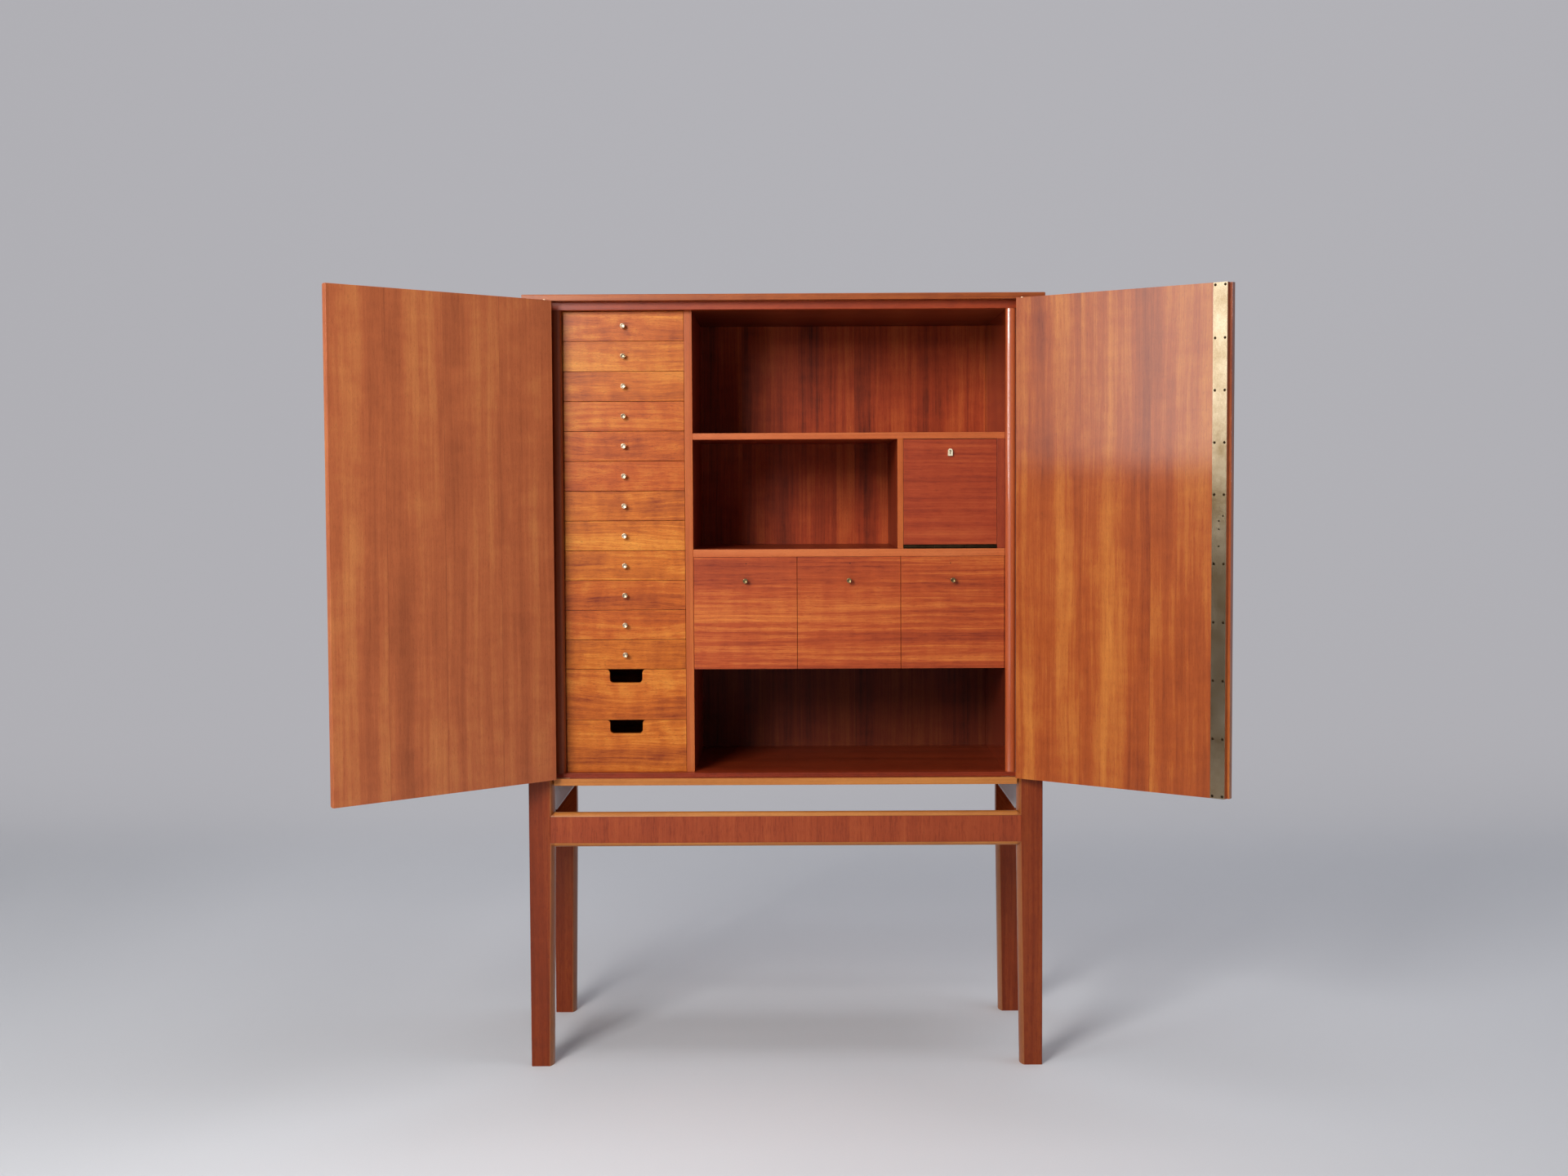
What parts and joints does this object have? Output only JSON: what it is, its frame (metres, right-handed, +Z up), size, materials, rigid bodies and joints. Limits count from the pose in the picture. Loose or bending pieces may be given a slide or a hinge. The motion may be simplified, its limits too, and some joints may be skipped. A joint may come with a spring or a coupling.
{
  "type": "cabinet",
  "caption": "Two-door wooden cabinet on four tapered legs, with shallow drawers, deep drawers, open bays and a locked drop flap.",
  "frame": {"origin": "on the floor, on the middle plane between the legs, below the plane of the drawer fronts, which is 45 mm behind the front of the legs", "axes": "+X to the right as seen from the front, +Y towards the back, +Z up"},
  "size_m": [1.6068, 0.7772, 1.5],
  "materials": {
    "veneer": "satin lacquered reddish-brown veneer",
    "drawer_veneer": "satin lacquered golden reddish-brown veneer",
    "lipping": "satin lacquered solid lipping",
    "carcase_wood": "planed plain wood",
    "brass": "aged, lightly polished"
  },
  "bodies": {
    "case": {"posts": "veneer", "frame_lippings": "lipping", "stretchers": "veneer", "top_slab": "veneer", "top_board": "veneer", "bottom_board": "veneer", "side_panels": "veneer", "back_panel": "veneer", "partitions": "veneer", "upper_shelf": "veneer", "middle_shelf": "veneer", "lower_shelf": "veneer", "battens": "carcase_wood", "pivot_plates": "brass", "flap_hinge_fixed": "brass"},
    "left leaf": {"left_door": "veneer", "left_door_pivots": "brass"},
    "right leaf": {"right_door": "veneer", "right_door_pivots": "brass", "closing_strip": "brass", "strip_nails": "brass", "door_escutcheon": "brass"},
    "upper rod": {"upper_rod": "brass"},
    "lower rod": {"lower_rod": "brass"},
    "small drawer 1": {"drawer_01": "drawer_veneer", "knob_01": "brass"},
    "small drawer 2": {"drawer_02": "drawer_veneer", "knob_02": "brass"},
    "small drawer 3": {"drawer_03": "drawer_veneer", "knob_03": "brass"},
    "small drawer 4": {"drawer_04": "drawer_veneer", "knob_04": "brass"},
    "small drawer 5": {"drawer_05": "drawer_veneer", "knob_05": "brass"},
    "small drawer 6": {"drawer_06": "drawer_veneer", "knob_06": "brass"},
    "small drawer 7": {"drawer_07": "drawer_veneer", "knob_07": "brass"},
    "small drawer 8": {"drawer_08": "drawer_veneer", "knob_08": "brass"},
    "small drawer 9": {"drawer_09": "drawer_veneer", "knob_09": "brass"},
    "small drawer 10": {"drawer_10": "drawer_veneer", "knob_10": "brass"},
    "small drawer 11": {"drawer_11": "drawer_veneer", "knob_11": "brass"},
    "small drawer 12": {"drawer_12": "drawer_veneer", "knob_12": "brass"},
    "upper tray drawer": {"upper_tray": "drawer_veneer"},
    "lower tray drawer": {"lower_tray": "drawer_veneer"},
    "deep drawer 1": {"deep_drawer_1": "drawer_veneer", "deep_knob_1": "brass"},
    "deep drawer 2": {"deep_drawer_2": "drawer_veneer", "deep_knob_2": "brass"},
    "deep drawer 3": {"deep_drawer_3": "drawer_veneer", "deep_knob_3": "brass"},
    "flap leaf": {"flap": "drawer_veneer", "flap_escutcheon": "brass", "flap_hinge_moving": "brass"},
    "flap bolt slide": {"flap_bolt": "brass"}
  },
  "joints": [
    {"name": "left_door_hinge", "type": "hinge", "parent": "case", "child": "left leaf", "pos_m": [-0.4576, -0.0455, 1.02675], "axis": [0, 0, -1], "range_deg": [-137.4, 27.6]},
    {"name": "right_door_hinge", "type": "hinge", "parent": "case", "child": "right leaf", "pos_m": [0.4576, -0.0455, 1.02675], "axis": [0, 0, 1], "range_deg": [-142.2, 22.8]},
    {"name": "upper_rod_slide", "type": "slide", "parent": "right leaf", "child": "upper rod", "axis": [0, 0, 1], "range_m": [0, 0.008]},
    {"name": "lower_rod_slide", "type": "slide", "parent": "right leaf", "child": "lower rod", "axis": [0, 0, -1], "range_m": [0, 0.008]},
    {"name": "drawer_01_slide", "type": "slide", "parent": "case", "child": "small drawer 1", "axis": [0, -1, 0], "range_m": [0, 0.24]},
    {"name": "drawer_02_slide", "type": "slide", "parent": "case", "child": "small drawer 2", "axis": [0, -1, 0], "range_m": [0, 0.24]},
    {"name": "drawer_03_slide", "type": "slide", "parent": "case", "child": "small drawer 3", "axis": [0, -1, 0], "range_m": [0, 0.24]},
    {"name": "drawer_04_slide", "type": "slide", "parent": "case", "child": "small drawer 4", "axis": [0, -1, 0], "range_m": [0, 0.24]},
    {"name": "drawer_05_slide", "type": "slide", "parent": "case", "child": "small drawer 5", "axis": [0, -1, 0], "range_m": [0, 0.24]},
    {"name": "drawer_06_slide", "type": "slide", "parent": "case", "child": "small drawer 6", "axis": [0, -1, 0], "range_m": [0, 0.24]},
    {"name": "drawer_07_slide", "type": "slide", "parent": "case", "child": "small drawer 7", "axis": [0, -1, 0], "range_m": [0, 0.24]},
    {"name": "drawer_08_slide", "type": "slide", "parent": "case", "child": "small drawer 8", "axis": [0, -1, 0], "range_m": [0, 0.24]},
    {"name": "drawer_09_slide", "type": "slide", "parent": "case", "child": "small drawer 9", "axis": [0, -1, 0], "range_m": [0, 0.24]},
    {"name": "drawer_10_slide", "type": "slide", "parent": "case", "child": "small drawer 10", "axis": [0, -1, 0], "range_m": [0, 0.24]},
    {"name": "drawer_11_slide", "type": "slide", "parent": "case", "child": "small drawer 11", "axis": [0, -1, 0], "range_m": [0, 0.24]},
    {"name": "drawer_12_slide", "type": "slide", "parent": "case", "child": "small drawer 12", "axis": [0, -1, 0], "range_m": [0, 0.24]},
    {"name": "upper_tray_slide", "type": "slide", "parent": "case", "child": "upper tray drawer", "axis": [0, -1, 0], "range_m": [0, 0.24]},
    {"name": "lower_tray_slide", "type": "slide", "parent": "case", "child": "lower tray drawer", "axis": [0, -1, 0], "range_m": [0, 0.24]},
    {"name": "deep_drawer_1_slide", "type": "slide", "parent": "case", "child": "deep drawer 1", "axis": [0, -1, 0], "range_m": [0, 0.24]},
    {"name": "deep_drawer_2_slide", "type": "slide", "parent": "case", "child": "deep drawer 2", "axis": [0, -1, 0], "range_m": [0, 0.24]},
    {"name": "deep_drawer_3_slide", "type": "slide", "parent": "case", "child": "deep drawer 3", "axis": [0, -1, 0], "range_m": [0, 0.24]},
    {"name": "flap_hinge", "type": "hinge", "parent": "case", "child": "flap leaf", "pos_m": [0.32325, 0, 1.012], "axis": [1, 0, 0], "range_deg": [0, 90]},
    {"name": "flap_bolt_slide", "type": "slide", "parent": "flap leaf", "child": "flap bolt slide", "axis": [0, 0, 1], "range_m": [0, 0.005]}
  ],
  "couplings": [
    {"joint": "lower_rod_slide", "follows": "upper_rod_slide", "ratio": 1}
  ]
}
